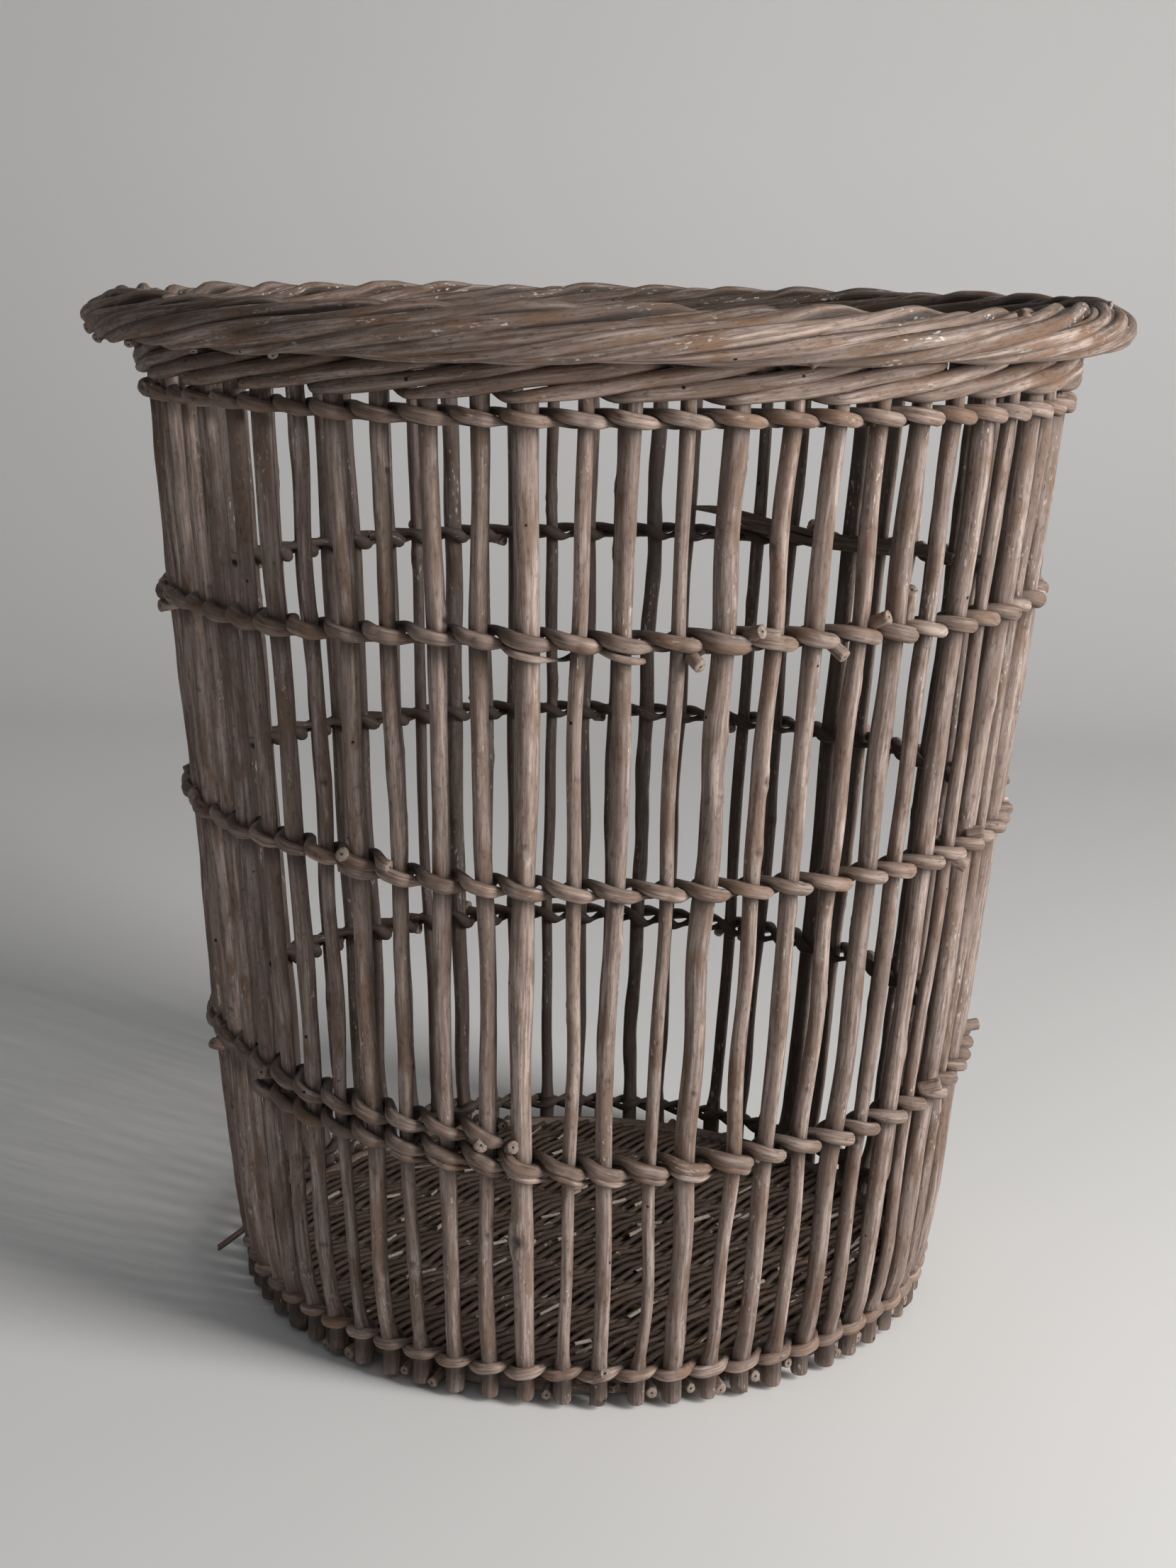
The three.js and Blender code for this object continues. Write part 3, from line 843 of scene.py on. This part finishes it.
def border_frame(share, turn, depth):
    """A point of the border: the share of the round, the turn round the rope and the depth in it."""
    angle = 2 * math.pi * np.asarray(share, float)
    across = (BORDER_HALF_WIDTH - depth) * np.cos(turn)
    up = (BORDER_HALF_HEIGHT - BORDER_FLATTER - depth) * np.sin(turn)
    distance = BORDER_CIRCLE + across
    x, y = distance * np.cos(angle), distance * np.sin(angle)
    point = np.stack([x, y, BORDER_HEIGHT + BORDER_LIFT + TILT_RIGHT * x + TILT_BACK * y + up], -1)
    out = np.stack([np.cos(turn) * np.cos(angle), np.cos(turn) * np.sin(angle), np.sin(turn)], -1)
    return point, out


def add_border_rod(rods, dice, lay, offset, radius, sunk):
    """A rod that runs round the whole border; sunk is how far its outer side lies under the surface."""
    share = np.arange(BORDER_POINTS) / BORDER_POINTS
    turn = lay(share) + offset + ring_waves(dice, 0.07, 3, 16)(share)
    over = smoothstep(np.sin(turn - 2.0), 0.0, 0.8)          # where it has come over the top and dives in
    under = smoothstep(-np.sin(turn + 0.5), 0.3, 1.0)        # where it comes up from below
    radius = radius * (1 - 0.16 * over + 0.07 * under) * (1 + ring_waves(dice, 0.08, 2, 13)(share))
    past = np.angle(np.exp(1j * (turn - CREST_TURN)))
    crest = bell(past, 0, np.where(past < 0, CREST_BEFORE, CREST_AFTER))
    depth = radius + sunk + (1.2 * over - 2.9 * crest) * MM + ring_waves(dice, 0.6 * MM, 4, 18)(share)
    path, out = border_frame(share, turn, np.maximum(depth, radius - 3.4 * MM))
    # painted shade on the rope's inner side and, through edge, in the grooves between its rods
    inside = 0.55 * smoothstep(-np.cos(turn), -0.2, 0.6)
    rods.add(path, radius, out, dice, sides=14, closed=True, grime=inside, inner=1.0, edge=0.70)


def make_border():
    """The groups of one thick and one thin rod, each group a piece of its own."""
    for group in range(BORDER_GROUPS):
        dice = dice_for(41, group)
        strand = STRANDS[group * len(STRANDS) // BORDER_GROUPS]
        nodes = (strand, "border_core") if group == 0 else (strand,)
        rods = Rods(f"border_rods_{group + 1}", "border", *nodes)
        wander = ring_waves(dice, 0.09, 1, 7)

        def lay(share):
            return 2 * math.pi * (BORDER_TURNS * share + group / BORDER_GROUPS) + wander(share)

        thick, deep, thin, thin_deep = GROUP_KINDS[group % len(GROUP_KINDS)]
        add_border_rod(rods, dice, lay, 0.0, thick * MM, deep * MM)
        add_border_rod(rods, dice, lay, -0.34, thin * MM, thin_deep * MM)
        if group == 0:
            add_border_details(rods)
        rods.build(BORDER_BARK, CUT_END)


RIM_STUBS = (          # stakes right of the front, turn round the rope in degrees, length, radius in mm
    (13.0, 80, 6, 1.1), (8.0, 70, 4, 2.6), (-9.3, 82, 4, 3.0), (-12.4, 75, 4, 2.6),
    (-6.1, -62, 4, 2.0), (-8.2, -66, 4, 1.6), (-10.6, -60, 4, 2.0), (-12.6, -50, 5, 2.2),
    (-14.2, -35, 4, 2.4), (3.4, -70, 3.5, 1.5), (24.0, 85, 3.5, 2.2), (-25.0, 78, 3.5, 2.4),
)


def add_border_details(rods):
    """Cut and broken rod ends that stick out of the border."""
    for number, (place_count, turn, length, radius) in enumerate(RIM_STUBS):
        dice = dice_for(42, number)
        share = (FIRST_STAKE + (FRONT + place_count) * STAKE_STEP) / (2 * math.pi)
        point, out = border_frame(share, math.radians(turn), 3.5 * MM)
        lean = 0.5 * np.array([-math.sin(2 * math.pi * share), math.cos(2 * math.pi * share), 0.1])
        add_stub(rods, dice, point, out + lean, (length + 1) * MM, radius * MM)


make_border()


# ---- base: a hoop, parallel sticks and a close weave of fine rods over and under them ----

STICK_TURN = math.radians(60)          # the sticks lie square to this direction
WEAVE_SLIP = math.radians(12)          # how far the fine rods run off that direction
WEAVE_TURN = STICK_TURN - WEAVE_SLIP
WEAVE_PITCH = 2.55 * MM
WEAVER, STICK = 1.3 * MM, 1.8 * MM     # rod radii
STICK_NODES = sorted(name for name in frame["nodes"] if name.startswith("base_stick_"))
STICK_PITCH = 34 * MM


def base_point(along, offset, height, turn=STICK_TURN):
    """A point of the base: along a direction, and offset square to it."""
    run = np.array([math.cos(turn), math.sin(turn)])
    cross = np.array([math.sin(turn), -math.cos(turn)])
    along, offset, height = np.broadcast_arrays(along, offset, height)
    flat = along[..., None] * run + offset[..., None] * cross
    return np.concatenate([flat, height[..., None]], -1)


def add_splinter_as_gap_light(rods, dice):
    """The broken end of a fine rod, standing a little out of the base, split open and pale. These pale bits
    also stand in for painted light: the bright slits seen through the weave.
    """
    offset = dice.uniform(-0.8, 0.8) * WEAVE_REACH
    along = dice.uniform(-0.8, 0.8) * math.sqrt(WEAVE_REACH ** 2 - offset ** 2)
    start = base_point(along, offset, BASE_HEIGHT + 2.6 * MM, WEAVE_TURN)
    run, aside, up = dice.choice([-1, 1]), dice.uniform(-0.25, 0.25), dice.uniform(0.02, 0.25)
    way = base_point(run, aside, up, WEAVE_TURN)
    add_stub(rods, dice, start, way, dice.uniform(4, 17) * MM, dice.uniform(0.45, 1.0) * MM,
             ends=("slant", "round"))


def add_base_details(rods):
    """Cut stick ends between the feet, a twig at the far left and a broken end over the feet."""
    for gap in range(STAKES):
        dice = dice_for(54, gap)
        near = 1.5 <= (gap + 0.5 - FRONT) % STAKES <= 20
        if dice.uniform() > (0.85 if near else 0.45):
            continue
        position = gap + dice.uniform(0.35, 0.65)
        height = BASE_HEIGHT + dice.uniform(-1.4, 1.8) * MM
        start = place(position, FOOT_RADIUS - 6 * MM, height)
        way = outward(position) + 0.25 * dice.uniform(-1, 1) * np.array([0, 0, 1])
        add_stub(rods, dice, start, way, dice.uniform(6.2, 8.8) * MM, dice.uniform(1.9, 2.8) * MM)
    dice = dice_for(55)
    twig = FRONT - 14.3
    add_stub(rods, dice, place(twig, FOOT_RADIUS + 2 * MM, 20 * MM), outward(twig) - (0, 0, 0.75),
             19 * MM, 1.3 * MM, ends=("cut", "slant"))
    add_stub(rods, dice, place(FRONT + 0.35, FOOT_RADIUS + 4 * MM, 15 * MM),
             outward(FRONT) + (0.9, 0, 1.1), 8 * MM, 1.9 * MM, ends=("cut", "slant"))


HOOP_POINTS = 240
STICK_POINTS = 60
# pale broken ends, which also stand in for painted light in the slits of the weave
BROKEN_ENDS_AS_GAP_LIGHT = 70
OPENINGS = 70                # slits where the fine rods have moved apart
STICK_LINES = [(number - (len(STICK_NODES) - 1) / 2) * STICK_PITCH for number in range(len(STICK_NODES))]
STICK_REACH = BASE_HOOP_CIRCLE + 5.5 * MM
WEAVE_REACH = BASE_HOOP_CIRCLE - 1.5 * MM


def make_hoop():
    """The round rod at the edge of the base, with the rod ends that stick out there."""
    dice = dice_for(51)
    share = np.arange(HOOP_POINTS) / HOOP_POINTS
    angle = 2 * math.pi * share
    circle = BASE_HOOP_CIRCLE + ring_waves(dice, 0.5 * MM, 2, 7)(share)
    path = np.stack([circle * np.cos(angle), circle * np.sin(angle), np.full(HOOP_POINTS, BASE_HEIGHT)], -1)
    hoop = Rods("base_hoop_rod", "base", "base_hoop")
    # painted shade darkening the hoop
    hoop.add(path, 3.4 * MM, path * (1, 1, 0), dice, closed=True, grime=0.25, across=1.25)
    add_base_details(hoop)
    hoop.build(WEAVE_BARK, CUT_END)


def make_sticks():
    """The parallel sticks, two side by side in each piece."""
    for number, (node, line) in enumerate(zip(STICK_NODES, STICK_LINES)):
        sticks = Rods(f"base_sticks_{number + 1}", "base", node)
        for side in (-1, 1):
            dice = dice_for(52, number, side + 1)
            here = line + side * 2.0 * MM
            half = math.sqrt(max(STICK_REACH ** 2 - here ** 2, (20 * MM) ** 2))
            offsets = np.linspace(-half, half * dice.uniform(0.985, 1.0), STICK_POINTS)
            bend = waves(dice, 0.6 * MM, 80 * MM, 200 * MM)(offsets)
            path = base_point(here + bend, offsets, BASE_HEIGHT)
            # painted shade darkening the sticks
            sticks.add(path, STICK, (0, 0, 1), dice, sides=10, grime=0.3)
        sticks.build(BASE_BARK_SHADED, BASE_CUT_END_AND_GAP_LIGHT)


def pick_opening(dice):
    """A slit in the weave: the offset of its middle, its place along the rods and how far they give."""
    centre = dice.uniform(-0.85, 0.85) * WEAVE_REACH
    stick = STICK_LINES[dice.integers(len(STICK_LINES))]
    line = stick + dice.choice([-1, 1]) * dice.uniform(8, 13) * MM
    return centre, line, dice.uniform(0.8, 1.7) * MM


def weaver_path(dice, number, along, offset, openings):
    """The way of one fine rod over and under the sticks and round the openings."""
    over_sticks = along * math.cos(WEAVE_SLIP) - offset * math.sin(WEAVE_SLIP)
    ripple = np.cos(math.pi * (over_sticks - STICK_LINES[0]) / STICK_PITCH)
    way = 1 if number % 2 else -1
    height = BASE_HEIGHT + way * ripple * (STICK + 0.35 * WEAVER)
    aside = waves(dice, 0.35 * MM, 20 * MM, 90 * MM)(along)
    for centre, line, wide in openings:
        near = offset - centre
        push = np.sign(near) * wide * np.exp(-abs(near) / (7 * MM))
        aside = aside + push * bell(along, line, 5.5 * MM)
    return base_point(along, offset + aside, height, WEAVE_TURN)


def make_weave(dice):
    """The fine rods side by side, one over the sticks where the next is under them."""
    count = int(2 * WEAVE_REACH / WEAVE_PITCH)
    openings = [pick_opening(dice) for _ in range(OPENINGS)]
    weave = Rods("base_weave_rods", "base", "base_weave")
    for number in range(count):
        offset = (number - (count - 1) / 2 + dice.uniform(-0.16, 0.16)) * WEAVE_PITCH
        half = math.sqrt(max(WEAVE_REACH ** 2 - offset ** 2, 0))
        if half < 12 * MM:
            continue
        along = np.arange(-half, half, 2.4 * MM)
        path = weaver_path(dice, number, along, offset, openings)
        radius = WEAVER * dice.uniform(0.78, 1.15)
        # painted shade darkening each fine rod by a chance amount
        weave.add(path, radius, (0, 0, 1), dice, sides=8, grime=dice.uniform(0, 0.5))
    weave.build(BASE_BARK_SHADED, BASE_CUT_END_AND_GAP_LIGHT)


def make_broken_ends_as_gap_light(dice):
    """The broken ends of fine rods, pale all over: broken ends, and painted light standing in for the
    bright slits seen through the weave.
    """
    splinters_as_gap_light = Rods("base_broken_ends_as_gap_light", "base", "base_weave")
    for _ in range(BROKEN_ENDS_AS_GAP_LIGHT):
        add_splinter_as_gap_light(splinters_as_gap_light, dice)
    splinters_as_gap_light.build(BASE_CUT_END_AND_GAP_LIGHT, BASE_CUT_END_AND_GAP_LIGHT)


make_hoop()
make_sticks()
weave_dice = dice_for(53)
make_weave(weave_dice)
make_broken_ends_as_gap_light(weave_dice)


# ---- stage, lights and camera ----

def make_stage():
    """A floor that bends up into a wall, far enough back to leave room for views from behind."""
    front, depth, height, bend, width = -3.0, 1.80, 3.5, 0.60, 4.5
    profile = [(front, 0.0), (depth - bend, 0.0)]
    profile += [(depth - bend + bend * math.sin(a), bend - bend * math.cos(a))
                for a in np.linspace(0, math.pi / 2, 16)[1:]]
    profile.append((depth, height))
    points = [(x, y, z) for y, z in profile for x in (-width, width)]
    faces = [(2 * i, 2 * i + 1, 2 * i + 3, 2 * i + 2) for i in range(len(profile) - 1)]
    mesh = bpy.data.meshes.new("backdrop")
    mesh.from_pydata(points, [], faces)
    mesh.shade_smooth()
    material, tree, shader = new_material("backdrop_paper")
    shader.inputs["Base Color"].default_value = linear(236, 235, 234)
    shader.inputs["Roughness"].default_value = 0.9
    mesh.materials.append(material)
    backdrop = bpy.data.objects.new("backdrop", mesh)
    bpy.context.scene.collection.objects.link(backdrop)


def add_light(name, direction, distance, size, power, colour):
    """A soft area light that shines on the middle of the basket."""
    data = bpy.data.lights.new(name, "AREA")
    data.shape = "RECTANGLE"
    data.size, data.size_y = size
    data.energy = power
    data.color = colour
    light = bpy.data.objects.new(name, data)
    aim = Vector((0, 0, HEIGHT / 2))
    light.location = aim + Vector(direction).normalized() * distance
    light.rotation_euler = (aim - light.location).to_track_quat("-Z", "Y").to_euler()
    bpy.context.scene.collection.objects.link(light)


CAMERA_BACK = 2.257 * HEIGHT         # from the basket's axis
CAMERA_UP = 1.028 * HEIGHT
CAMERA_DOWN = math.radians(12.9)
CAMERA_TURN = math.radians(0.23)
CAMERA_ROLL = math.radians(1.5)
SENSOR, LENS = 36, 52.08             # mm


def make_camera():
    """The camera where the photo was taken from."""
    data = bpy.data.cameras.new("camera")
    data.sensor_width = SENSOR
    data.lens = LENS
    camera = bpy.data.objects.new("camera", data)
    camera.location = (0, -CAMERA_BACK, CAMERA_UP)
    aim = Euler((math.pi / 2 - CAMERA_DOWN, 0, CAMERA_TURN)).to_matrix()
    roll = Euler((0, 0, CAMERA_ROLL)).to_matrix()
    camera.rotation_euler = (aim @ roll).to_euler()
    bpy.context.scene.collection.objects.link(camera)
    bpy.context.scene.camera = camera


def make_world():
    """A dim, slightly blue light from all round."""
    world = bpy.data.worlds.new("room")
    world.use_nodes = True
    background = world.node_tree.nodes["Background"]
    background.inputs["Color"].default_value = (0.80, 0.83, 0.86, 1)
    background.inputs["Strength"].default_value = 0.13
    bpy.context.scene.world = world


make_camera()
make_stage()
make_world()
add_light("key", (1.0, -0.60, 0.42), 1.9, (0.7, 1.0), 44, (1.0, 0.985, 0.96))
add_light("fill", (0.1, -1.0, 0.8), 2.8, (2.0, 2.0), 5, (0.93, 0.96, 1.0))
bpy.context.scene.view_settings.view_transform = "Standard"
